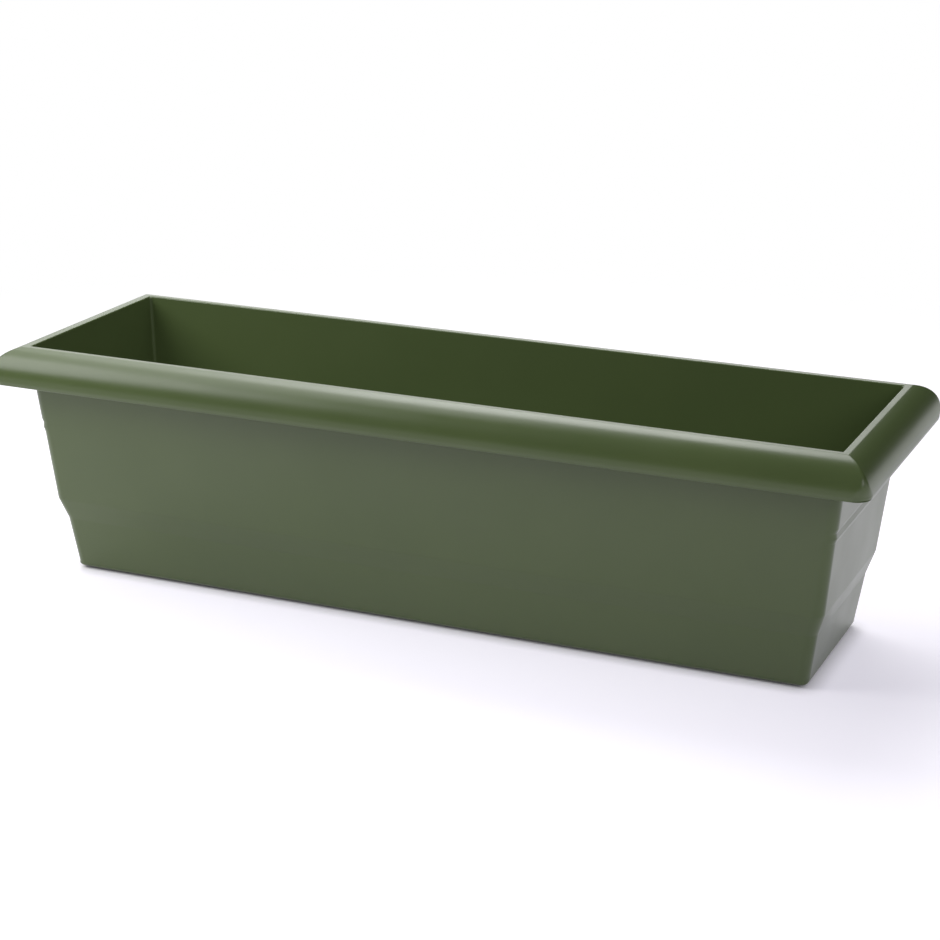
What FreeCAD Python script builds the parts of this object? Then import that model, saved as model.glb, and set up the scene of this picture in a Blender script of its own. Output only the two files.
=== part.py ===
import FreeCAD, Part

import math
import os

import Sketcher

# A long rectangular planter moulded in plastic. The trough is one thin-walled
# moulding: drafted walls with a thicker band under the rim and a step low down, a
# hollow rolled rim with mitred corners, and a floor on moulded feet. Inside the
# step is a ledge, where two slotted grids lie end to end and keep the soil off the
# floor. Push-in plugs close the drain holes.
# Lengths are in millimetres and angles in degrees. X runs along the trough, Y
# across it and Z up, from the ground under the middle of the trough.

SIZES = {
    # the trough, measured over its rim
    "overall_length": 610,
    "overall_width": 204,
    "overall_height": 164,
    # walls
    "wall": 2.5,
    "wall_corner": 5,
    "upper_draft": 5.6,
    "lower_draft": 8,
    # the thicker band under the rim, and the slope at its lower edge
    "band_height": 103.5,
    "band_slope": 1.8,
    "band_proud": 0.6,
    # the step, and the ledge above it on the inside
    "step_height": 40.5,
    "step_rise": 13,
    "step_inset": 4.5,
    "ledge_rise": 1.5,
    # the rolled rim
    "rim_reach": 22,
    "rim_roll": 17.5,
    "rim_drop": 25,
    "rim_tuck": 1.2,
    "rim_corner": 12,
    "rim_wall": 2.2,
    "mouth_round": 1.6,
    # floor and feet
    "floor": 2.5,
    "base_round": 2.5,
    "foot_height": 1.5,
    "foot_length": 36,
    "foot_width": 14,
    "foot_inset": 8,
    # drain holes and their plugs
    "drain_radius": 7,
    "plug_fit": 0.1,
    "plug_tip": 1,
    "plug_lead": 0.8,
    "plug_flange": 2,
    "plug_flange_overlap": 5,
    "plug_neck_radius": 2.8,
    "plug_neck_rise": 2.4,
    "plug_knob_radius": 4.5,
    "plug_knob_rise": 3.2,
    "plug_edge": 0.8,
    # drainage grids
    "grid": 2.5,
    "grid_clearance": 0.8,
    "grid_gap": 1.5,
    "grid_corner": 4,
    "slot_length": 30,
    "slot_width": 6,
    "slot_pitch": 18,
    "slot_bar": 8,
    "slot_end_margin": 20,
    "slot_side_margin": 10,
    "rib": 2,
    "rib_depth": 5,
    "rib_end_margin": 6,
    "leg_radius": 4,
    "leg_inset": 10,
    "leg_clearance": 0.3,
    "finger_radius": 12,
}

doc = FreeCAD.newDocument("trough_planter")
sheet = doc.addObject("Spreadsheet::Sheet", "Sizes")
for row, (alias, value) in enumerate(SIZES.items(), start=1):
    sheet.set(f"A{row}", alias)
    sheet.set(f"B{row}", str(value))
    sheet.setAlias(f"B{row}", alias)
doc.recompute()


# Sizes and heights that several pieces share, as expressions on the sheet
MOUTH = {
    "length": "(Sizes.overall_length - 2 * Sizes.rim_reach)",
    "width": "(Sizes.overall_width - 2 * Sizes.rim_reach)",
}
BAND_TOP = "(Sizes.band_height + Sizes.band_slope)"
STEP_TOP = "(Sizes.step_height + Sizes.step_rise)"
LEDGE = f"({STEP_TOP} + Sizes.ledge_rise)"
FLOOR_TOP = "(Sizes.foot_height + Sizes.floor)"
INNER_CORNER = "(Sizes.wall_corner - Sizes.wall)"

# Drain holes lie at the middles of equal shares of the floor; each place is counted
# in shares from the middle of the trough
DRAINS = ("-1.5", "-0.5", "0.5", "1.5")


def number(expression):
    value = sheet.evalExpression(expression)
    return float(getattr(value, "Value", value))


# length or width inside the upper wall at a height
def soil_space(side, height):
    lean = f"(Sizes.overall_height - {height}) * tan(Sizes.upper_draft * 1 deg)"
    return f"({MOUTH[side]} - 2 * {lean})"


# length or width outside the upper wall at a height, below its band
def upper_wall(side, height):
    return f"({soil_space(side, height)} + 2 * Sizes.wall)"


# length or width outside the lower wall at a height
def lower_wall(side, height):
    lean = f"(Sizes.step_height - {height}) * tan(Sizes.lower_draft * 1 deg)"
    return f"({upper_wall(side, STEP_TOP)} - 2 * Sizes.step_inset - 2 * {lean})"


DRAIN_SHARE = f"(({lower_wall('length', FLOOR_TOP)} - 2 * Sizes.wall) / {len(DRAINS)})"


def new_body(name):
    body = doc.addObject("PartDesign::Body", name)
    body.Label = name
    return body


def new_sketch(body, name, plane="XY_Plane", height="0"):
    sketch = body.newObject("Sketcher::SketchObject", f"{body.Name}_{name}")
    support = next(item for item in body.Origin.OriginFeatures if item.Role == plane)
    sketch.AttachmentSupport = [(support, "")]
    sketch.MapMode = "FlatFace"
    sketch.setExpression("AttachmentOffset.Base.z", height)
    return sketch


# add a constraint and bind its value to an expression
def bind(sketch, expression, kind, *references):
    index = sketch.addConstraint(Sketcher.Constraint(kind, *references, number(expression)))
    sketch.setExpression(f"Constraints[{index}]", expression)


# hold a point of a sketch at a place given by two expressions
def hold_point(sketch, shape, point, across, along):
    for expression, kind, axis in ((across, "DistanceX", -2), (along, "DistanceY", -1)):
        distance = number(expression)
        if distance == 0:
            sketch.addConstraint(Sketcher.Constraint("PointOnObject", shape, point, axis))
        elif distance > 0:
            bind(sketch, expression, kind, -1, 1, shape, point)
        else:
            bind(sketch, f"-({expression})", kind, shape, point, -1, 1)


# a rectangle with round corners, which reaches from its middle to both sides
def round_rectangle(sketch, length, width, radius, middle=("0", "0")):
    x = number(length) / 2
    y = number(width) / 2
    r = number(radius)
    centre = FreeCAD.Vector(number(middle[0]), number(middle[1]))
    up = FreeCAD.Vector(0, 0, 1)
    straights = (
        ((x - r, y), (r - x, y)),
        ((-x, y - r), (-x, r - y)),
        ((r - x, -y), (x - r, -y)),
        ((x, r - y), (x, y - r)),
    )
    for start, end in straights:
        sketch.addGeometry(
            Part.LineSegment(centre + FreeCAD.Vector(*start), centre + FreeCAD.Vector(*end))
        )
    corners = ((x - r, y - r), (r - x, y - r), (r - x, r - y), (x - r, r - y))
    for turn, corner in enumerate(corners):
        circle = Part.Circle(centre + FreeCAD.Vector(*corner), up, r)
        begin = turn * math.pi / 2
        sketch.addGeometry(Part.ArcOfCircle(circle, begin, begin + math.pi / 2))
    for turn in range(4):
        straight = turn
        corner = turn + 4
        before = (turn - 1) % 4
        sketch.addConstraint(Sketcher.Constraint("Tangent", before, 2, corner, 1))
        sketch.addConstraint(Sketcher.Constraint("Tangent", corner, 2, straight, 1))
    for straight, kind in enumerate(("Horizontal", "Vertical", "Horizontal", "Vertical")):
        sketch.addConstraint(Sketcher.Constraint(kind, straight))
    for corner in (5, 6, 7):
        sketch.addConstraint(Sketcher.Constraint("Equal", 4, corner))
    bind(sketch, radius, "Radius", 4)
    bind(sketch, length, "DistanceX", 1, 1, 3, 1)
    bind(sketch, width, "DistanceY", 2, 1, 0, 1)
    bind(sketch, f"{middle[0]} + {length} / 2", "DistanceX", -1, 1, 3, 1)
    bind(sketch, f"{middle[1]} + {width} / 2", "DistanceY", -1, 1, 0, 1)


def circles(sketch, places, radius):
    for place in places:
        centre = FreeCAD.Vector(number(place[0]), number(place[1]))
        circle = sketch.addGeometry(Part.Circle(centre, FreeCAD.Vector(0, 0, 1), number(radius)))
        hold_point(sketch, circle, 3, *place)
        bind(sketch, radius, "Radius", circle)


# a closed outline of straight lines through corners given by expressions
def outline(sketch, corners):
    points = [FreeCAD.Vector(number(across), number(along)) for across, along in corners]
    lines = [
        sketch.addGeometry(Part.LineSegment(start, end))
        for start, end in zip(points, points[1:] + points[:1])
    ]
    for line, following in zip(lines, lines[1:] + lines[:1]):
        sketch.addConstraint(Sketcher.Constraint("Coincident", line, 2, following, 1))
    for line, corner in zip(lines, corners):
        hold_point(sketch, line, 1, *corner)


# a loft through level round rectangles, given as (height, length, width, radius)
def loft(body, kind, name, sections):
    sketches = []
    for index, (height, length, width, radius) in enumerate(sections):
        sketch = new_sketch(body, f"{name}_{index}", height=height)
        round_rectangle(sketch, length, width, radius)
        sketches.append(sketch)
    feature = body.newObject(f"PartDesign::{kind}", f"{body.Name}_{name}")
    feature.Profile = sketches[0]
    feature.Sections = sketches[1:]
    feature.Ruled = True
    doc.recompute()
    return feature


# a pad that grows up from its sketch, or down, or a pocket cut down into the body
def extrude(body, kind, name, sketch, length, downwards=False):
    feature = body.newObject(f"PartDesign::{kind}", f"{body.Name}_{name}")
    feature.Profile = sketch
    feature.setExpression("Length", length)
    feature.Reversed = downwards
    doc.recompute()
    return feature


def fillet(body, name, base, chosen, radius):
    feature = body.newObject("PartDesign::Fillet", f"{body.Name}_{name}")
    edges = [f"Edge{index}" for index, edge in enumerate(base.Shape.Edges, start=1) if chosen(edge)]
    feature.Base = (base, edges)
    feature.setExpression("Radius", radius)
    doc.recompute()
    return feature


# whether an edge lies level at a height, within a rectangle about the middle
def level_edge(height, length="Sizes.overall_length", width="Sizes.overall_width"):
    z = number(height)
    x = number(length) / 2
    y = number(width) / 2
    near = 0.01

    def chosen(edge):
        box = edge.BoundBox
        return (
            abs(box.ZMin - z) < near
            and abs(box.ZMax - z) < near
            and box.XMax < x + near
            and box.YMax < y + near
        )

    return chosen


# what is cut off two opposite edges of the rim's block, past the quarter roll and
# the tucked skirt below it; inset is how far the block lies inside the rim's face
def roll_outline(sketch, size, inset):
    skirt = "(Sizes.rim_drop - Sizes.rim_roll)"
    sweep = f"(({skirt} ^ 2 + Sizes.rim_tuck ^ 2) / (2 * Sizes.rim_tuck))"
    roll_radius = f"(Sizes.rim_roll - {inset})"
    skirt_radius = f"({sweep} - {inset})"
    bottom = "(Sizes.overall_height - Sizes.rim_drop)"
    waist = "(Sizes.overall_height - Sizes.rim_roll)"
    crest = f"(Sizes.overall_height - {inset})"
    lean = math.asin(number(skirt) / number(skirt_radius))
    up = FreeCAD.Vector(0, 0, 1)
    for sign, turn in (("", 0), ("-", math.pi)):
        roll_x = f"{sign}({size} / 2 - Sizes.rim_roll)"
        skirt_x = f"{sign}({size} / 2 - {sweep})"
        clear_x = f"{sign}({size} / 2 + Sizes.rim_wall)"
        roll_circle = Part.Circle(FreeCAD.Vector(number(roll_x), number(waist)), up, number(roll_radius))
        skirt_circle = Part.Circle(FreeCAD.Vector(number(skirt_x), number(waist)), up, number(skirt_radius))
        if turn == 0:
            roll_arc = Part.ArcOfCircle(roll_circle, 0, math.pi / 2)
            skirt_arc = Part.ArcOfCircle(skirt_circle, -lean, 0)
            first, last = 2, 1
        else:
            roll_arc = Part.ArcOfCircle(roll_circle, math.pi / 2, math.pi)
            skirt_arc = Part.ArcOfCircle(skirt_circle, math.pi, math.pi + lean)
            first, last = 1, 2
        roll = sketch.addGeometry(roll_arc)
        tuck = sketch.addGeometry(skirt_arc)
        corners = [
            skirt_arc.EndPoint if last == 2 else skirt_arc.StartPoint,
            FreeCAD.Vector(number(clear_x), number(bottom)),
            FreeCAD.Vector(number(clear_x), number(crest)),
            FreeCAD.Vector(number(roll_x), number(crest)),
        ]
        below, beside, above = [
            sketch.addGeometry(Part.LineSegment(begin, end))
            for begin, end in zip(corners, corners[1:])
        ]
        sketch.addConstraint(Sketcher.Constraint("Tangent", roll, last, tuck, first))
        sketch.addConstraint(Sketcher.Constraint("Coincident", tuck, last, below, 1))
        sketch.addConstraint(Sketcher.Constraint("Coincident", below, 2, beside, 1))
        sketch.addConstraint(Sketcher.Constraint("Coincident", beside, 2, above, 1))
        sketch.addConstraint(Sketcher.Constraint("Coincident", above, 2, roll, first))
        sketch.addConstraint(Sketcher.Constraint("Horizontal", roll, last, roll, 3))
        sketch.addConstraint(Sketcher.Constraint("Vertical", roll, first, roll, 3))
        sketch.addConstraint(Sketcher.Constraint("Horizontal", below))
        hold_point(sketch, roll, 3, roll_x, waist)
        hold_point(sketch, beside, 1, clear_x, bottom)
        hold_point(sketch, beside, 2, clear_x, crest)
        bind(sketch, roll_radius, "Radius", roll)
        bind(sketch, skirt_radius, "Radius", tuck)


# a block as wide as the rim, rolled along its four upper edges, which meet in mitres
def rolled_block(body, inset):
    bottom = "(Sizes.overall_height - Sizes.rim_drop)"
    plan = new_sketch(body, "rim_plan", height=bottom)
    length = f"(Sizes.overall_length - 2 * {inset})"
    width = f"(Sizes.overall_width - 2 * {inset})"
    round_rectangle(plan, length, width, f"(Sizes.rim_corner - {inset})")
    extrude(body, "Pad", "rim_block", plan, f"(Sizes.rim_drop - {inset})")
    for plane, size in (("XZ_Plane", "Sizes.overall_length"), ("YZ_Plane", "Sizes.overall_width")):
        profile = new_sketch(body, f"roll_{plane}", plane=plane)
        roll_outline(profile, size, inset)
        cut = body.newObject("PartDesign::Pocket", f"{body.Name}_roll_{plane}_cut")
        cut.Profile = profile
        cut.Type = "ThroughAll"
        cut.SideType = "Symmetric"
        doc.recompute()


# a section of the walls at a height, from one of the functions of length and width
def wall_section(wall, height, corner, extra="0"):
    length = f"({wall('length', height)} + 2 * {extra})"
    width = f"({wall('width', height)} + 2 * {extra})"
    return (height, length, width, corner)


def make_trough():
    body = new_body("trough_body")
    rolled_block(body, "0")
    core = new_body("rim_core")
    rolled_block(core, "Sizes.rim_wall")
    hollow = body.newObject("PartDesign::Boolean", f"{body.Name}_rim_hollow")
    hollow.Type = "Cut"
    hollow.setObjects([core])
    doc.recompute()

    corner = "Sizes.wall_corner"
    under_crest = "(Sizes.overall_height - Sizes.rim_wall)"
    walls = [
        wall_section(lower_wall, "Sizes.foot_height", corner),
        wall_section(lower_wall, "Sizes.step_height", corner),
        wall_section(upper_wall, STEP_TOP, corner),
        wall_section(upper_wall, "Sizes.band_height", corner),
        wall_section(upper_wall, BAND_TOP, corner, "Sizes.band_proud"),
        wall_section(upper_wall, under_crest, corner, "Sizes.band_proud"),
    ]
    block = loft(body, "AdditiveLoft", "walls", walls)
    fillet(body, "base_round", block, level_edge("Sizes.foot_height"), "Sizes.base_round")

    above = "(Sizes.overall_height + Sizes.rim_wall)"
    soil = [
        wall_section(soil_space, LEDGE, INNER_CORNER),
        wall_section(soil_space, above, INNER_CORNER),
    ]
    opened = loft(body, "SubtractiveLoft", "soil_space", soil)
    mouth = level_edge("Sizes.overall_height", MOUTH["length"], MOUTH["width"])
    fillet(body, "mouth_round", opened, mouth, "Sizes.mouth_round")
    sump = [
        wall_section(lower_wall, FLOOR_TOP, INNER_CORNER, "(0 - Sizes.wall)"),
        wall_section(lower_wall, LEDGE, INNER_CORNER, "(0 - Sizes.wall)"),
    ]
    loft(body, "SubtractiveLoft", "sump", sump)

    foot_end = f"({lower_wall('length', 'Sizes.foot_height')} / 2 - Sizes.foot_inset)"
    foot_start = f"({foot_end} - Sizes.foot_length)"
    foot_edge = f"({lower_wall('width', 'Sizes.foot_height')} / 2 - Sizes.foot_inset)"
    foot_back = f"({foot_edge} - Sizes.foot_width)"
    half_foot = "(Sizes.foot_length / 2)"
    feet = new_sketch(body, "feet_outline")
    for left, right in (
        (f"-{foot_end}", f"-{foot_start}"),
        (f"-{half_foot}", half_foot),
        (foot_start, foot_end),
    ):
        for near, far in ((f"-{foot_edge}", f"-{foot_back}"), (foot_back, foot_edge)):
            outline(feet, [(left, near), (right, near), (right, far), (left, far)])
    extrude(body, "Pad", "feet", feet, "Sizes.foot_height")

    drains = new_sketch(body, "drains_outline", height=FLOOR_TOP)
    circles(drains, [(f"{at} * {DRAIN_SHARE}", "0") for at in DRAINS], "Sizes.drain_radius")
    extrude(body, "Pocket", "drains", drains, "Sizes.floor")
    return body


# one slotted panel; the second is the same moulding turned end for end
def make_grid(name, turn):
    body = new_body(name)
    end = f"({soil_space('length', LEDGE)} / 2 - Sizes.grid_clearance)"
    start = "(Sizes.grid_gap / 2)"
    length = f"({end} - {start})"
    width = f"({soil_space('width', LEDGE)} - 2 * Sizes.grid_clearance)"
    middle = f"(({start} + {end}) / 2)"
    row_pitch = "(Sizes.slot_length + Sizes.slot_bar)"
    grid_top = f"({LEDGE} + Sizes.grid)"

    plate = new_sketch(body, "plate_outline", height=LEDGE)
    round_rectangle(plate, length, width, "Sizes.grid_corner", (middle, "0"))
    extrude(body, "Pad", "plate", plate, "Sizes.grid")

    ribs = new_sketch(body, "ribs_outline", height=LEDGE)
    rib_start = f"({start} + Sizes.rib_end_margin)"
    rib_end = f"({end} - Sizes.rib_end_margin)"
    for side in ("-", ""):
        near = f"{side}({row_pitch} - Sizes.rib) / 2"
        far = f"{side}({row_pitch} + Sizes.rib) / 2"
        outline(ribs, [(rib_start, near), (rib_end, near), (rib_end, far), (rib_start, far)])
    extrude(body, "Pad", "ribs", ribs, "Sizes.rib_depth", downwards=True)

    legs = new_sketch(body, "legs_outline", height=LEDGE)
    leg_x = (f"({start} + Sizes.leg_inset)", DRAIN_SHARE)
    leg_y = (f"-{row_pitch} / 2", f"{row_pitch} / 2")
    circles(legs, [(x, y) for x in leg_x for y in leg_y], "Sizes.leg_radius")
    leg_length = f"({LEDGE} - {FLOOR_TOP} - Sizes.leg_clearance)"
    extrude(body, "Pad", "legs", legs, leg_length, downwards=True)

    finger = new_sketch(body, "finger_outline", height=grid_top)
    circles(finger, [(start, "0")], "Sizes.finger_radius")
    extrude(body, "Pocket", "finger_notch", finger, "Sizes.grid")

    columns = f"floor(({length} - 2 * Sizes.slot_end_margin - Sizes.slot_width) / Sizes.slot_pitch) + 1"
    rows = f"floor(({width} - 2 * Sizes.slot_side_margin + Sizes.slot_bar) / {row_pitch})"
    first_x = f"({start} + Sizes.slot_end_margin)"
    last_y = f"(({rows} * {row_pitch} - Sizes.slot_bar) / 2)"
    first_y = f"({last_y} - Sizes.slot_length)"
    slot = new_sketch(body, "slot_outline", height=grid_top)
    slot_end = f"({first_x} + Sizes.slot_width)"
    outline(slot, [(first_x, first_y), (slot_end, first_y), (slot_end, last_y), (first_x, last_y)])
    cut = extrude(body, "Pocket", "slot", slot, "Sizes.grid")
    pattern = body.newObject("PartDesign::LinearPattern", f"{body.Name}_slots")
    pattern.Originals = [cut]
    pattern.Direction = (slot, ["H_Axis"])
    pattern.Mode = "Spacing"
    pattern.setExpression("Offset", "Sizes.slot_pitch")
    pattern.setExpression("Occurrences", columns)
    pattern.Direction2 = (slot, ["V_Axis"])
    pattern.Reversed2 = True
    pattern.setExpression("Length2", f"({rows} - 1) * {row_pitch}")
    pattern.setExpression("Occurrences2", rows)
    body.Tip = pattern
    body.Placement = FreeCAD.Placement(
        FreeCAD.Vector(0, 0, 0), FreeCAD.Rotation(FreeCAD.Vector(0, 0, 1), turn)
    )
    doc.recompute()
    return body


# a turned plug that stands in the drain hole at a place along the trough
def make_plug(name, at):
    body = new_body(name)
    stem_radius = "(Sizes.drain_radius - Sizes.plug_fit)"
    tip_radius = f"({stem_radius} - Sizes.plug_lead)"
    flange_radius = "(Sizes.drain_radius + Sizes.plug_flange_overlap)"
    seat = "(Sizes.floor + Sizes.plug_tip)"
    flange_top = f"({seat} + Sizes.plug_flange)"
    neck_top = f"({flange_top} + Sizes.plug_neck_rise)"
    knob_top = f"({neck_top} + Sizes.plug_knob_rise)"
    corners = [
        ("0", "0"),
        (tip_radius, "0"),
        (stem_radius, "Sizes.plug_lead"),
        (stem_radius, seat),
        (flange_radius, seat),
        (flange_radius, f"({flange_top} - Sizes.plug_edge)"),
        (f"({flange_radius} - Sizes.plug_edge)", flange_top),
        ("Sizes.plug_neck_radius", flange_top),
        ("Sizes.plug_neck_radius", neck_top),
        ("Sizes.plug_knob_radius", neck_top),
        ("Sizes.plug_knob_radius", f"({knob_top} - Sizes.plug_edge)"),
        ("(Sizes.plug_knob_radius - Sizes.plug_edge)", knob_top),
        ("0", knob_top),
    ]
    profile = new_sketch(body, "profile", plane="XZ_Plane")
    outline(profile, corners)
    turned = body.newObject("PartDesign::Revolution", f"{body.Name}_turned")
    turned.Profile = profile
    turned.ReferenceAxis = (profile, ["V_Axis"])
    doc.recompute()

    body.setExpression("Placement.Base.x", f"{at} * {DRAIN_SHARE}")
    body.setExpression("Placement.Base.z", f"{FLOOR_TOP} - {seat}")
    doc.recompute()
    return body


pieces = [
    make_trough(),
    make_grid("drainage_grid_left", 180),
    make_grid("drainage_grid_right", 0),
]
for count, at in enumerate(DRAINS, start=1):
    pieces.append(make_plug(f"drain_plug_{count}", at))
doc.recompute()

failed = [item.Name for item in doc.Objects if {"Invalid", "Error"} & set(item.State)]
if failed:
    raise RuntimeError(f"failed objects: {failed}")
for piece in pieces:
    shape = piece.Shape
    if shape.isNull() or not shape.isValid() or len(shape.Solids) != 1:
        raise RuntimeError(f"{piece.Label} is not one valid solid")

os.makedirs("parts", exist_ok=True)
for piece in pieces:
    piece.Shape.exportStep(f"parts/{piece.Label}.step")
    box = piece.Shape.optimalBoundingBox(True, False)
    print(
        f"{piece.Label}: {box.XLength:.1f} x {box.YLength:.1f} x {box.ZLength:.1f} mm,",
        f"{piece.Shape.Volume / 1000:.1f} cm3",
    )
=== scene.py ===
import math

import bmesh
import bpy
from mathutils import Matrix, Vector


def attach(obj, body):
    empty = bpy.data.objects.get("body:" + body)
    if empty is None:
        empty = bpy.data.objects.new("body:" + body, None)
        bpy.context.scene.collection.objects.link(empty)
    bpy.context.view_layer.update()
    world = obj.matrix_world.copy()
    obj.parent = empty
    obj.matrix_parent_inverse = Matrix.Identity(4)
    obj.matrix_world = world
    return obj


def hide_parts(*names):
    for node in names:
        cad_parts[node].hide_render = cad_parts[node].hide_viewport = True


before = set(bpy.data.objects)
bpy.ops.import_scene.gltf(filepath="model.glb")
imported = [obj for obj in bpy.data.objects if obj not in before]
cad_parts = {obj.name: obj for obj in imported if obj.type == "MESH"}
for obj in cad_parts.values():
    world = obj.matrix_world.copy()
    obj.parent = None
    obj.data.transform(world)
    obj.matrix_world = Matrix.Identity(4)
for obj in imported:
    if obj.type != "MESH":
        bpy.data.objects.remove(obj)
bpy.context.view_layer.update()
scene = bpy.context.scene
mm = 0.001
tiny = 1e-6
mergeGap = 0.002 * mm   # points this near are one
seamGap = 0.01 * mm
print("frame loaded:", ", ".join(sorted(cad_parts)))


# object and mesh helpers

def takeUp(piece):
    bpy.ops.object.select_all(action="DESELECT")
    piece.select_set(True)
    bpy.context.view_layer.objects.active = piece


def openMesh(piece):
    takeUp(piece)
    bpy.ops.object.mode_set(mode="EDIT")
    bpy.ops.mesh.select_all(action="DESELECT")


def closeMesh():
    bpy.ops.object.mode_set(mode="OBJECT")


def nameNew(name):
    piece = bpy.context.object
    piece.name = name
    piece.data.name = name
    return piece


def pickVerts(test):  # of the open mesh, by place
    bpy.ops.mesh.select_mode(type="VERT")
    mesh = bmesh.from_edit_mesh(bpy.context.object.data)
    for vert in mesh.verts:
        vert.select_set(bool(test(vert.co)))
    mesh.select_flush_mode()
    bmesh.update_edit_mesh(bpy.context.object.data)


def pickEdges(test):  # of the open mesh, by their two ends
    bpy.ops.mesh.select_mode(type="EDGE")
    mesh = bmesh.from_edit_mesh(bpy.context.object.data)
    for edge in mesh.edges:
        edge.select_set(False)
    for edge in mesh.edges:
        if test(edge.verts[0].co, edge.verts[1].co):
            edge.select_set(True)
    bmesh.update_edit_mesh(bpy.context.object.data)


def pickFaces(test):  # of the open mesh, by middle and normal
    bpy.ops.mesh.select_mode(type="FACE")
    mesh = bmesh.from_edit_mesh(bpy.context.object.data)
    for face in mesh.faces:
        face.select_set(False)
    for face in mesh.faces:
        if test(face.calc_center_median(), face.normal):
            face.select_set(True)
    bmesh.update_edit_mesh(bpy.context.object.data)


def applyModifier(piece, kind, **settings):
    takeUp(piece)
    modifier = piece.modifiers.new(kind.title(), kind)
    for key, value in settings.items():
        setattr(modifier, key, value)
    bpy.ops.object.modifier_apply(modifier=modifier.name)


def carve(piece, tool, operation):  # boolean, then the tool goes
    applyModifier(piece, "BOOLEAN", operation=operation, solver="EXACT", object=tool)
    bpy.data.objects.remove(tool, do_unlink=True)


def copyPiece(piece, name):
    takeUp(piece)
    bpy.ops.object.duplicate()
    return nameNew(name)


def shiftMesh(piece, x, y):
    openMesh(piece)
    bpy.ops.mesh.select_all(action="SELECT")
    bpy.ops.transform.translate(value=(x * mm, y * mm, 0))
    closeMesh()


def carveCopies(piece, tool, places, operation):  # the tool at the origin, copied to each place
    for x, y in places:
        spare = copyPiece(tool, "toolCopy")
        shiftMesh(spare, x, y)
        carve(piece, spare, operation)
    bpy.data.objects.remove(tool, do_unlink=True)


def cleanMesh(piece):
    openMesh(piece)
    bpy.ops.mesh.select_all(action="SELECT")
    bpy.ops.mesh.remove_doubles(threshold=mergeGap)
    bpy.ops.mesh.normals_make_consistent(inside=False)
    closeMesh()


def smoothShade(piece, degrees):
    takeUp(piece)
    bpy.ops.object.shade_smooth_by_angle(angle=math.radians(degrees))
    applyModifier(piece, "WEIGHTED_NORMAL", keep_sharp=True, weight=50)


# a bent section as (out at the ends, out at the sides, height, corner) stations;
# bend rounds the turn at a point, and there the plan corner goes over to its own radius
def sectionStations(points, turnStep):
    stations = []
    for index, (out, height, bend, corner, *endOut) in enumerate(points):
        if bend == 0:
            stations.append((*(endOut or [out]), out, height, corner))
            continue
        here = Vector((out, height))
        towardsLast = (Vector(points[index - 1][:2]) - here).normalized()
        towardsNext = (Vector(points[index + 1][:2]) - here).normalized()
        half = towardsLast.angle(towardsNext) / 2
        centre = here + (towardsLast + towardsNext).normalized() * (bend / math.sin(half))
        spoke = here + towardsLast * (bend / math.tan(half)) - centre
        turn = math.pi - 2 * half
        if towardsLast.cross(towardsNext) > 0:
            turn = -turn
        steps = max(2, math.ceil(abs(turn) / math.radians(turnStep)))
        first, last = points[index - 1][3], corner
        for step in range(steps + 1):
            share = step / steps
            angle = turn * share
            spot = centre + Vector((
                spoke.x * math.cos(angle) - spoke.y * math.sin(angle),
                spoke.x * math.sin(angle) + spoke.y * math.cos(angle),
            ))
            swell = share if last > first else 1 - share
            plan = min(first, last) + abs(last - first) * swell ** 3
            stations.append((spot.x, spot.x, spot.y, plan))
    return stations


# trough: a quarter of the section is run round one corner, then mirrored twice
trough = {
    "mouth": (283.0, 80.0),          # half length and half width inside the mouth
    "cornerCuts": 10,
    "turnStep": 7.5,
    "section": [  # out from the mouth, height, bend, plan corner, and out at the ends if other
        (-24.0, 1.5, 0, 4.0),        # flat of the base
        (-18.32, 1.5, 4.0, 7.0),     # base edge
        (-13.18, 38.0, 11.0, 7.0),   # foot of the step
        (-8.37, 53.0, 11.0, 7.0),    # head of the step
        (-3.06, 102.5, 0, 7.0, -3.42),  # two fine steps under the rim, on the end walls only
        (-2.74, 105.5, 0, 7.0, -2.38),
        (-2.33, 109.3, 0, 7.0, -2.69),
        (-2.01, 112.3, 0, 7.0, -1.65),
        (3.29, 161.5, 0.9, 4.0),     # wall meets the rim
        (19.8, 157.6, 18.8, 9.8),    # inside of the roll
        (19.8, 142.3, 3.0, 9.8),
        (19.2, 140.2, 0.7, 9.8),     # lip
        (21.4, 140.2, 0.7, 12.0),
        (22.0, 142.4, 5.0, 12.0),
        (22.0, 159.6, 21.0, 0.8),    # the roll, mitred at its crest
        (4.4, 164.0, 4.0, 0.8),      # flat round the mouth
        (0.0, 164.0, 1.0, 2.5),
        (-10.69, 55.0, 0.8, 2.5),    # ledge for the grids
        (-13.30, 55.0, 0.6, 2.5),
        (-20.46, 4.0, 2.2, 2.5),     # floor
        (-28.0, 4.0, 0, 2.5),
    ],
    "drains": (-196.9, -65.63, 65.63, 196.9),
    "drainRadius": 7.0,
    "drainVertices": 48,
    "drainEdge": 0.4, "drainEdgeCuts": 2,
    "drainDepth": 20.0,              # of the tool that cuts a drain
    "footSize": (36.0, 14.0, 1.5),
    "footEnd": 238.69, "footSide": 46.69,
    "footSunk": 0.4,                 # into the base, for a clean join
    "footRound": 2.0, "footRoundCuts": 5,
    "footEdge": 0.4, "footEdgeCuts": 3,
    "shadeAngle": 28,
}


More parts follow.
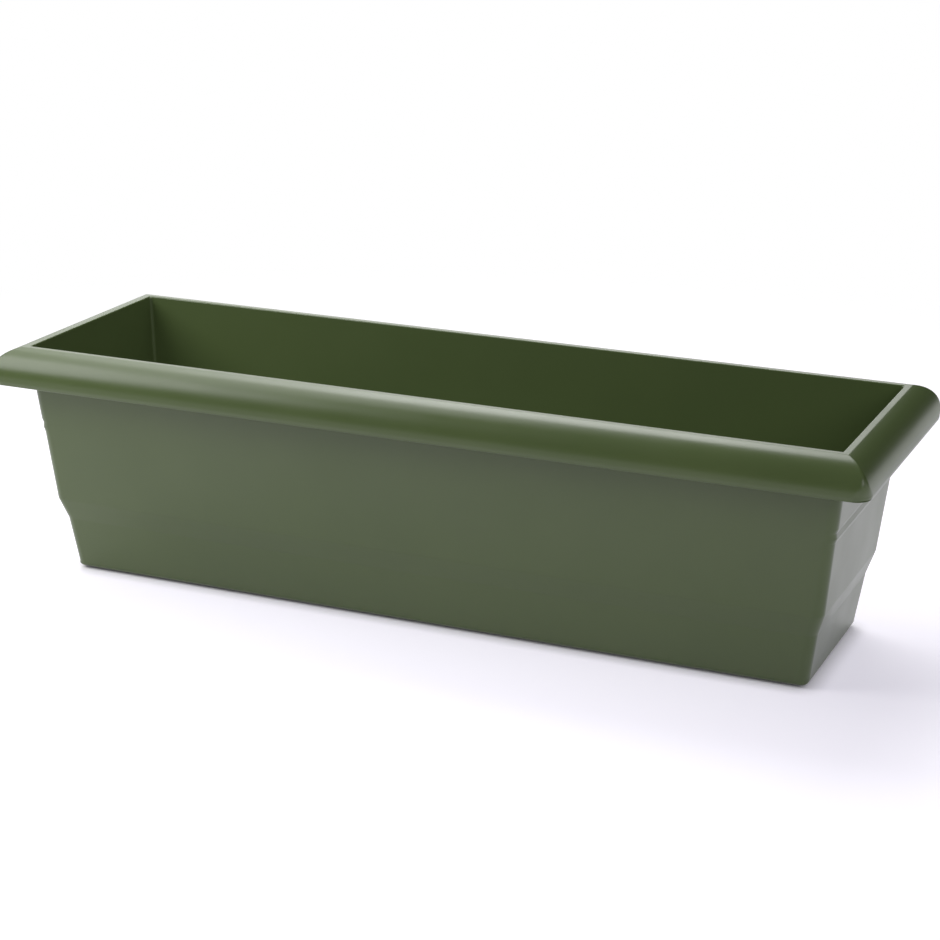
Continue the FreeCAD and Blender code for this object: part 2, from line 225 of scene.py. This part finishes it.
def startQuarter(name, half, corner, height, cuts):
    bpy.ops.object.select_all(action="DESELECT")
    bpy.ops.mesh.primitive_plane_add(size=1, location=(0, 0, 0))
    piece = nameNew(name)
    openMesh(piece)
    bpy.ops.mesh.select_all(action="SELECT")
    bpy.ops.transform.translate(value=(0.5, -0.5, height))
    bpy.ops.transform.resize(value=(half[0], half[1], 1), center_override=(0, 0, height))
    pickVerts(lambda co: co.x > tiny and co.y < -tiny)
    bpy.ops.mesh.bevel(offset=corner, segments=cuts, profile=0.5, affect="VERTICES")
    pickEdges(lambda a, b: max(a.x, b.x) > tiny and min(a.y, b.y) < -tiny
              and not (max(abs(a.y), abs(b.y)) < tiny or max(abs(a.x), abs(b.x)) < tiny))
    return piece


# extrude the picked quarter outline to the next station of the section
def growQuarter(half, before, after):
    growEnd, growSide, rise = (b - a for a, b in zip(before[:3], after[:3]))
    bpy.ops.mesh.extrude_edges_move(TRANSFORM_OT_translate={"value": (0, 0, rise)})
    mesh = bmesh.from_edit_mesh(bpy.context.object.data)
    ring = [vert for vert in mesh.verts if vert.select]

    def hold(test):
        bpy.ops.mesh.select_all(action="DESELECT")
        for vert in ring:
            vert.select_set(bool(test(vert.co)))
        mesh.select_flush_mode()
        bmesh.update_edit_mesh(bpy.context.object.data)

    hold(lambda co: co.x > tiny)
    bpy.ops.transform.translate(value=(growEnd, 0, 0))
    hold(lambda co: co.y < -tiny)
    bpy.ops.transform.translate(value=(0, -growSide, 0))
    if abs(after[3] - before[3]) > tiny * mm:
        hold(lambda co: co.x > tiny and co.y < -tiny)
        swell = after[3] / before[3]
        tip = (half[0] + after[0], -half[1] - after[1], after[2])
        bpy.ops.transform.resize(value=(swell, swell, 1), center_override=tip)
    hold(lambda co: True)


def makeTrough():
    half = [side * mm for side in trough["mouth"]]
    stations = [
        tuple(value * mm for value in station)
        for station in sectionStations(trough["section"], trough["turnStep"])
    ]
    first = stations[0]
    piece = startQuarter(
        "troughShell", (half[0] + first[0], half[1] + first[1]),
        first[3], first[2], trough["cornerCuts"],
    )
    bpy.ops.mesh.select_mode(type="VERT")
    for before, after in zip(stations, stations[1:]):
        growQuarter(half, before, after)
    endOut, sideOut, floorHeight, corner = stations[-1]
    pickVerts(lambda co: abs(co.z - floorHeight) < tiny and abs(co.x) < tiny)
    reach = half[1] + sideOut
    bpy.ops.mesh.extrude_vertices_move(TRANSFORM_OT_translate={"value": (0, reach, 0)})
    pickVerts(lambda co: abs(co.z - floorHeight) < tiny
              and co.x < half[0] + endOut + tiny and co.y > -reach - tiny)
    bpy.ops.mesh.edge_face_add()
    closeMesh()
    applyModifier(piece, "MIRROR", use_axis=(True, True, False), merge_threshold=seamGap)
    cleanMesh(piece)
    print("trough section run:", len(stations), "stations,", len(piece.data.polygons), "faces")
    return piece


def makeFoot():
    size = [side * mm for side in trough["footSize"]]
    sunk = trough["footSunk"] * mm
    bpy.ops.object.select_all(action="DESELECT")
    bpy.ops.mesh.primitive_cube_add(size=1)
    foot = nameNew("foot")
    openMesh(foot)
    bpy.ops.mesh.select_all(action="SELECT")
    bpy.ops.transform.resize(value=(size[0], size[1], size[2] + sunk))
    bpy.ops.transform.translate(value=(0, 0, (size[2] + sunk) / 2))
    pickEdges(lambda a, b: abs(a.z - b.z) > tiny)
    bpy.ops.mesh.bevel(offset=trough["footRound"] * mm, segments=trough["footRoundCuts"], affect="EDGES")
    pickEdges(lambda a, b: max(a.z, b.z) < tiny)
    bpy.ops.mesh.bevel(offset=trough["footEdge"] * mm, segments=trough["footEdgeCuts"], affect="EDGES")
    closeMesh()
    return foot


def finishTrough(piece):
    sides, ends = trough["footSide"], trough["footEnd"]
    carveCopies(piece, makeFoot(), [(x, y) for x in (-ends, 0, ends) for y in (-sides, sides)], "UNION")
    radius = trough["drainRadius"] * mm
    bpy.ops.object.select_all(action="DESELECT")
    bpy.ops.mesh.primitive_cylinder_add(
        vertices=trough["drainVertices"], radius=radius, depth=trough["drainDepth"] * mm)
    carveCopies(piece, nameNew("drainTool"), [(x, 0) for x in trough["drains"]], "DIFFERENCE")
    openMesh(piece)
    centres = [Vector((x * mm, 0)) for x in trough["drains"]]

    def onHole(co):
        return any(abs((co.xy - centre).length - radius) < seamGap for centre in centres)

    pickEdges(lambda a, b: onHole(a) and onHole(b) and abs(a.z - b.z) < tiny)
    bpy.ops.mesh.bevel(offset=trough["drainEdge"] * mm, segments=trough["drainEdgeCuts"], affect="EDGES")
    closeMesh()
    cleanMesh(piece)
    openMesh(piece)
    creases = [point[1] * mm for point in trough["section"] if len(point) > 4]
    pickEdges(lambda a, b: any(max(abs(a.z - z), abs(b.z - z)) < tiny for z in creases))
    bpy.ops.mesh.mark_sharp()
    closeMesh()
    smoothShade(piece, trough["shadeAngle"])
    print("trough finished:", len(piece.data.polygons), "faces")


# drainage grid: a slotted panel on legs, made once and turned for the other side
grid = {
    "start": 0.75, "end": 271.51, "halfWidth": 68.51,
    "low": 55.0, "high": 57.5,
    "corner": 4.0, "cornerCuts": 6,
    "slot": (6.0, 30.0), "slotRound": 1.4, "slotCuts": 4,
    "slotStart": 20.75, "slotStep": 18.0, "slotCount": 13,
    "rowStep": 38.0, "rowCount": 3,
    "toolReach": 2.0,         # of the slot tool past the panel
    "ribs": (-19.0, 19.0), "ribWidth": 2.0, "ribLow": 50.0, "ribEnds": (6.75, 265.5),
    "legs": (10.75, 131.27),  # along the ribs
    "legVertices": 32,
    "legRadius": 3.5, "legLow": 4.3, "legTaper": 0.86, "legWall": 1.3, "legHollow": 2.5,
    "join": 0.5,              # ribs and legs reach this far into the panel
    "finger": 12.0, "fingerVertices": 64,
    "fingerDepth": 10.0,      # of the tool that cuts the finger hole
    "edge": 0.35, "edgeCuts": 2, "edgeAngle": 50,
    "shadeAngle": 35,
}


def block(name, low, high):
    bpy.ops.object.select_all(action="DESELECT")
    bpy.ops.mesh.primitive_cube_add(size=1)
    piece = nameNew(name)
    openMesh(piece)
    bpy.ops.mesh.select_all(action="SELECT")
    bpy.ops.transform.resize(value=[(b - a) * mm for a, b in zip(low, high)])
    bpy.ops.transform.translate(value=[(a + b) / 2 * mm for a, b in zip(low, high)])
    closeMesh()
    return piece


def roundUprights(piece, radius, cuts):
    openMesh(piece)
    pickEdges(lambda a, b: (a.xy - b.xy).length < tiny and abs(a.z - b.z) > tiny)
    bpy.ops.mesh.bevel(offset=radius * mm, segments=cuts, affect="EDGES")
    closeMesh()


def makeLeg():
    g = grid
    length = g["low"] + g["join"] - g["legLow"]
    bpy.ops.object.select_all(action="DESELECT")
    bpy.ops.mesh.primitive_cylinder_add(
        vertices=g["legVertices"], radius=g["legRadius"] * mm, depth=length * mm)
    leg = nameNew("leg")
    openMesh(leg)
    bpy.ops.mesh.select_all(action="SELECT")
    bpy.ops.transform.translate(value=(0, 0, (g["legLow"] + length / 2) * mm))
    pickFaces(lambda middle, normal: normal.z < -0.9)
    bpy.ops.transform.resize(
        value=(g["legTaper"], g["legTaper"], 1), center_override=(0, 0, g["legLow"] * mm))
    bpy.ops.mesh.inset(thickness=g["legWall"] * mm)
    bpy.ops.transform.translate(value=(0, 0, g["legHollow"] * mm))
    closeMesh()
    return leg


def makeGrid(name):
    g = grid
    panel = block(name, (g["start"], -g["halfWidth"], g["low"]), (g["end"], g["halfWidth"], g["high"]))
    roundUprights(panel, g["corner"], g["cornerCuts"])
    slotLow = -(g["rowCount"] * g["rowStep"] - (g["rowStep"] - g["slot"][1])) / 2
    tool = block(
        "slotTool", (g["slotStart"], slotLow, g["low"] - g["toolReach"]),
        (g["slotStart"] + g["slot"][0], slotLow + g["slot"][1], g["high"] + g["toolReach"]),
    )
    roundUprights(tool, g["slotRound"], g["slotCuts"])
    applyModifier(tool, "ARRAY", count=g["slotCount"], use_relative_offset=False,
                  use_constant_offset=True, constant_offset_displace=(g["slotStep"] * mm, 0, 0))
    applyModifier(tool, "ARRAY", count=g["rowCount"], use_relative_offset=False,
                  use_constant_offset=True, constant_offset_displace=(0, g["rowStep"] * mm, 0))
    carve(panel, tool, "DIFFERENCE")
    bpy.ops.object.select_all(action="DESELECT")
    bpy.ops.mesh.primitive_cylinder_add(
        vertices=g["fingerVertices"], radius=g["finger"] * mm, depth=g["fingerDepth"] * mm)
    tool = nameNew("fingerTool")
    openMesh(tool)
    bpy.ops.mesh.select_all(action="SELECT")
    bpy.ops.transform.translate(value=(g["start"] * mm, 0, g["high"] * mm))
    closeMesh()
    carve(panel, tool, "DIFFERENCE")
    rib = block(
        "rib", (g["ribEnds"][0], -g["ribWidth"] / 2, g["ribLow"]),
        (g["ribEnds"][1], g["ribWidth"] / 2, g["low"] + g["join"]),
    )
    carveCopies(panel, rib, [(0, y) for y in g["ribs"]], "UNION")
    carveCopies(panel, makeLeg(), [(x, y) for x in g["legs"] for y in g["ribs"]], "UNION")
    cleanMesh(panel)
    applyModifier(panel, "BEVEL", width=g["edge"] * mm, segments=g["edgeCuts"], limit_method="ANGLE",
                  angle_limit=math.radians(g["edgeAngle"]), use_clamp_overlap=True)
    smoothShade(panel, g["shadeAngle"])
    print(name, "made:", len(panel.data.polygons), "faces")
    return panel


# drain plug: a disc grown ring by ring
plug = {
    "vertices": 48,
    "shadeAngle": 40,
    "low": 0.5,
    "rings": [                # radius, height above the plug's tip
        (5.9, 0.0), (6.1, 0.05), (6.9, 0.8), (6.9, 1.2), (6.9, 3.5),
        (11.7, 3.5), (12.0, 3.75), (12.0, 4.7), (11.75, 5.1), (11.2, 5.5),
        (3.6, 5.5), (3.0, 5.75), (2.8, 6.3), (2.8, 7.5), (3.1, 7.9),
        (4.2, 7.9), (4.5, 8.2), (4.5, 10.3), (4.25, 10.8), (3.7, 11.1), (2.2, 11.1),
        (1.8, 10.8),
    ],
}


def makePlug(name):
    bpy.ops.object.select_all(action="DESELECT")
    bpy.ops.mesh.primitive_circle_add(
        vertices=plug["vertices"], radius=plug["rings"][0][0] * mm, fill_type="NGON")
    piece = nameNew(name)
    openMesh(piece)
    bpy.ops.mesh.select_all(action="SELECT")
    bpy.ops.transform.translate(value=(0, 0, plug["low"] * mm))
    bpy.ops.mesh.select_mode(type="FACE")
    for (radius, height), (nextRadius, nextHeight) in zip(plug["rings"], plug["rings"][1:]):
        bpy.ops.mesh.extrude_region_move(
            TRANSFORM_OT_translate={"value": (0, 0, (nextHeight - height) * mm)})
        scale = nextRadius / radius
        bpy.ops.transform.resize(
            value=(scale, scale, 1), center_override=(0, 0, (plug["low"] + nextHeight) * mm))
    closeMesh()
    cleanMesh(piece)
    smoothShade(piece, plug["shadeAngle"])
    return piece


# finishes

def newMaterial(name):
    material = bpy.data.materials.new(name)
    material.use_nodes = True
    tree = material.node_tree
    tree.nodes.clear()
    return material, tree


def addNode(tree, kind, **settings):
    node = tree.nodes.new(kind)
    for key, value in settings.items():
        if key.startswith("in_"):
            node.inputs[key[3:].replace("_", " ")].default_value = value
        else:
            setattr(node, key, value)
    return node


def mouldedPlastic(name, look):
    material, tree = newMaterial(name)
    link = tree.links.new
    out = addNode(tree, "ShaderNodeOutputMaterial")
    skin = addNode(tree, "ShaderNodeBsdfPrincipled", in_IOR=look["ior"])
    link(skin.outputs["BSDF"], out.inputs["Surface"])
    place = addNode(tree, "ShaderNodeTexCoord")

    # pigment: broad drift of tone
    drift = addNode(tree, "ShaderNodeTexNoise", in_Scale=look["driftScale"], in_Detail=3.0)
    link(place.outputs["Object"], drift.inputs["Vector"])
    tone = addNode(tree, "ShaderNodeValToRGB")
    tone.color_ramp.interpolation = "EASE"
    tone.color_ramp.elements[0].position = look["span"][0]
    tone.color_ramp.elements[0].color = (*look["dark"], 1)
    tone.color_ramp.elements[1].position = look["span"][1]
    tone.color_ramp.elements[1].color = (*look["light"], 1)
    link(drift.outputs["Fac"], tone.inputs["Fac"])
    link(tone.outputs["Color"], skin.inputs["Base Color"])

    # polish: cloudy patches
    cloud = addNode(tree, "ShaderNodeTexNoise", in_Scale=look["cloudScale"], in_Detail=2.0)
    link(place.outputs["Object"], cloud.inputs["Vector"])
    polish = addNode(tree, "ShaderNodeMapRange", interpolation_type="SMOOTHSTEP")
    polish.inputs["From Min"].default_value = look["span"][0]
    polish.inputs["From Max"].default_value = look["span"][1]
    polish.inputs["To Min"].default_value = look["roughness"][0]
    polish.inputs["To Max"].default_value = look["roughness"][1]
    link(cloud.outputs["Fac"], polish.inputs["Value"])
    link(polish.outputs["Result"], skin.inputs["Roughness"])

    # fine grain of the mould, on a slow ripple of the wall
    grain = addNode(tree, "ShaderNodeTexNoise", in_Scale=look["grainScale"], in_Detail=2.0)
    link(place.outputs["Object"], grain.inputs["Vector"])
    ripple = addNode(tree, "ShaderNodeTexNoise", in_Scale=look["rippleScale"], in_Detail=1.0)
    link(place.outputs["Object"], ripple.inputs["Vector"])
    slow = addNode(tree, "ShaderNodeBump", in_Strength=look["ripple"], in_Distance=look["rippleDepth"])
    link(ripple.outputs["Fac"], slow.inputs["Height"])
    fine = addNode(tree, "ShaderNodeBump", in_Strength=look["grain"], in_Distance=look["grainDepth"])
    link(grain.outputs["Fac"], fine.inputs["Height"])
    link(slow.outputs["Normal"], fine.inputs["Normal"])
    link(fine.outputs["Normal"], skin.inputs["Normal"])
    return material


oliveLook = {
    "dark": (0.077, 0.110, 0.038), "light": (0.087, 0.122, 0.043),
    "driftScale": 9.0, "ior": 1.5,
    "span": (0.2, 0.8),   # of the noise, for tone and polish
    "cloudScale": 22.0, "roughness": (0.285, 0.335),
    "grainScale": 1400.0, "grain": 0.10, "grainDepth": 0.0001,
    "rippleScale": 14.0, "ripple": 0.05, "rippleDepth": 0.001,
}
gridLook = dict(oliveLook, dark=(0.066, 0.094, 0.033), light=(0.076, 0.106, 0.037),
                roughness=(0.40, 0.48), grain=0.2)
plugLook = dict(oliveLook, dark=(0.012, 0.013, 0.012), light=(0.020, 0.021, 0.019),
                roughness=(0.42, 0.52), grain=0.2, driftScale=60.0)


def dress(piece, material, slotName, body, *nodes):
    piece.data.materials.clear()
    piece.data.materials.append(material)
    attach(piece, body)
    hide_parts(*nodes)


olivePlastic = mouldedPlastic("olivePlastic", oliveLook)
gridPlastic = mouldedPlastic("gridPlastic", gridLook)
plugPlastic = mouldedPlastic("plugPlastic", plugLook)

shell = makeTrough()
finishTrough(shell)
dress(shell, olivePlastic, "trough", "trough", "trough_body")

rightGrid = makeGrid("gridRight")
leftGrid = copyPiece(rightGrid, "gridLeft")
openMesh(leftGrid)
bpy.ops.mesh.select_all(action="SELECT")
bpy.ops.transform.rotate(value=math.pi, orient_axis="Z", center_override=(0, 0, 0))
closeMesh()
dress(rightGrid, gridPlastic, "grid", "right_grid", "drainage_grid_right")
dress(leftGrid, gridPlastic, "grid", "left_grid", "drainage_grid_left")

firstPlug = makePlug("plug1")
plugs = [firstPlug] + [copyPiece(firstPlug, f"plug{number}") for number in (2, 3, 4)]
for number, (stopper, x) in enumerate(zip(plugs, trough["drains"]), start=1):
    shiftMesh(stopper, x, 0)
    dress(stopper, plugPlastic, "plug", f"plug_{number}", f"drain_plug_{number}")


# floor, light and camera
stage = {
    "floorSize": 400.0,
    "floorColor": (0.88, 0.87, 0.86),
    "shownColor": (0.77, 0.76, 0.77), "shownGlow": (0.53, 0.51, 0.59),  # as the camera sees it
    "contact": 0.012,                 # the glow is shaded this near to the trough
    "whiteFrom": 0.42, "whiteTo": 1.0,  # this far off the floor shows plain white
    "ambient": 0.03,
    # lamps: turn from the back to the right, elevation, strength
    "sunAngle": 34.0,
    "suns": {
        "backLeftSun": (330, 50, 0.85),
        "frontRightSun": (140, 30, 0.75),
        "lowRightSun": (90, 8, 0.30),
        "lowBackSun": (335, 15, 0.45),
    },
    "boxDistance": 1.1, "boxSize": 0.67, "boxAim": 0.08,
    "boxes": {
        "leftFrontBox": (240, 35, 1.50),
        "backLeftBox": (330, 60, 0.90),
        "leftTopBox": (270, 60, 0.75),
    },
}
cameraSpot = {
    "azimuth": 22.745, "elevation": 17.815, "roll": 0.744,
    "distance": 1.6, "aimHeight": 0.0821, "aside": 0.0086, "above": 0.0082,
    "lens": 90.34, "sensor": 36, "clipStart": 0.05,
}


# rays that see the white: the camera's, mirrored ones and those through glass
def shownRays(tree):
    ray = addNode(tree, "ShaderNodeLightPath")
    seen = ray.outputs["Is Camera Ray"]
    for kind in ("Is Glossy Ray", "Is Transmission Ray"):
        either = addNode(tree, "ShaderNodeMath", operation="MAXIMUM")
        tree.links.new(seen, either.inputs[0])
        tree.links.new(ray.outputs[kind], either.inputs[1])
        seen = either.outputs["Value"]
    return seen


def makeFloor():
    bpy.ops.object.select_all(action="DESELECT")
    bpy.ops.mesh.primitive_plane_add(size=stage["floorSize"])
    floor = nameNew("studioFloor")
    material, tree = newMaterial("studioWhite")
    link = tree.links.new
    out = addNode(tree, "ShaderNodeOutputMaterial")
    plain = addNode(tree, "ShaderNodeBsdfDiffuse")
    plain.inputs["Color"].default_value = (*stage["floorColor"], 1)
    shown = addNode(tree, "ShaderNodeBsdfDiffuse")
    shown.inputs["Color"].default_value = (*stage["shownColor"], 1)
    glow = addNode(tree, "ShaderNodeEmission")
    glow.inputs["Color"].default_value = (*stage["shownGlow"], 1)
    contact = addNode(tree, "ShaderNodeAmbientOcclusion", in_Distance=stage["contact"])
    link(contact.outputs["AO"], glow.inputs["Strength"])
    both = addNode(tree, "ShaderNodeAddShader")
    link(shown.outputs["BSDF"], both.inputs[0])
    link(glow.outputs["Emission"], both.inputs[1])
    white = addNode(tree, "ShaderNodeEmission")
    white.inputs["Color"].default_value = (1, 1, 1, 1)
    seen = shownRays(tree)
    near = addNode(tree, "ShaderNodeMixShader")
    link(seen, near.inputs["Fac"])
    link(plain.outputs["BSDF"], near.inputs[1])
    link(both.outputs["Shader"], near.inputs[2])
    far = addNode(tree, "ShaderNodeMixShader")
    link(seen, far.inputs["Fac"])
    link(plain.outputs["BSDF"], far.inputs[1])
    link(white.outputs["Emission"], far.inputs[2])
    place = addNode(tree, "ShaderNodeTexCoord")
    reach = addNode(tree, "ShaderNodeVectorMath", operation="LENGTH")
    link(place.outputs["Object"], reach.inputs[0])
    fade = addNode(tree, "ShaderNodeMapRange", interpolation_type="SMOOTHSTEP")
    fade.inputs["From Min"].default_value = stage["whiteFrom"]
    fade.inputs["From Max"].default_value = stage["whiteTo"]
    link(reach.outputs["Value"], fade.inputs["Value"])
    whole = addNode(tree, "ShaderNodeMixShader")
    link(fade.outputs["Result"], whole.inputs["Fac"])
    link(near.outputs["Shader"], whole.inputs[1])
    link(far.outputs["Shader"], whole.inputs[2])
    link(whole.outputs["Shader"], out.inputs["Surface"])
    floor.data.materials.append(material)


def makeWorld():
    world = bpy.data.worlds.new("studio")
    scene.world = world
    world.use_nodes = True
    tree = world.node_tree
    tree.nodes.clear()
    link = tree.links.new
    out = addNode(tree, "ShaderNodeOutputWorld")
    air = addNode(tree, "ShaderNodeBackground", in_Strength=stage["ambient"])
    air.inputs["Color"].default_value = (1, 1, 1, 1)
    link(air.outputs["Background"], out.inputs["Surface"])


# a lamp that points at the trough; its strength is the light it brings there
def hangLamp(light, turn, elevation):
    holder = bpy.data.objects.new(light.name, light)
    scene.collection.objects.link(holder)
    turn, elevation = math.radians(turn), math.radians(elevation)
    towards = Vector((
        math.sin(turn) * math.cos(elevation),
        math.cos(turn) * math.cos(elevation),
        math.sin(elevation),
    ))
    holder.location = Vector((0, 0, stage["boxAim"])) + towards * stage["boxDistance"]
    holder.rotation_euler = towards.to_track_quat("Z", "Y").to_euler()
    holder.visible_camera = False


def addLamps():
    for name, (turn, elevation, strength) in stage["suns"].items():
        light = bpy.data.lights.new(name, "SUN")
        light.energy = strength
        light.angle = math.radians(stage["sunAngle"])
        hangLamp(light, turn, elevation)
    for name, (turn, elevation, strength) in stage["boxes"].items():
        light = bpy.data.lights.new(name, "AREA")
        light.shape = "DISK"
        light.size = stage["boxSize"]
        light.energy = math.pi * stage["boxDistance"] ** 2 * strength
        hangLamp(light, turn, elevation)


def addCamera():
    spot = cameraSpot
    azimuth, elevation, roll = (math.radians(spot[key]) for key in ("azimuth", "elevation", "roll"))
    back = Vector((
        math.sin(azimuth) * math.cos(elevation),
        -math.cos(azimuth) * math.cos(elevation),
        math.sin(elevation),
    ))
    right = Vector((math.cos(azimuth), math.sin(azimuth), 0))
    up = back.cross(right)
    eye = Vector((0, 0, spot["aimHeight"])) + back * spot["distance"]
    eye += right * spot["aside"] + up * spot["above"]
    tiltedRight = right * math.cos(roll) + up * math.sin(roll)
    tiltedUp = up * math.cos(roll) - right * math.sin(roll)
    data = bpy.data.cameras.new("camera")
    data.lens = spot["lens"]
    data.sensor_width = spot["sensor"]
    data.clip_start = spot["clipStart"]
    camera = bpy.data.objects.new("camera", data)
    scene.collection.objects.link(camera)
    turn = Matrix((tiltedRight, tiltedUp, back)).transposed().to_4x4()
    camera.matrix_world = Matrix.Translation(eye) @ turn
    scene.camera = camera


makeFloor()
makeWorld()
addLamps()
addCamera()
scene.view_settings.view_transform = "Standard"
print("stage set")
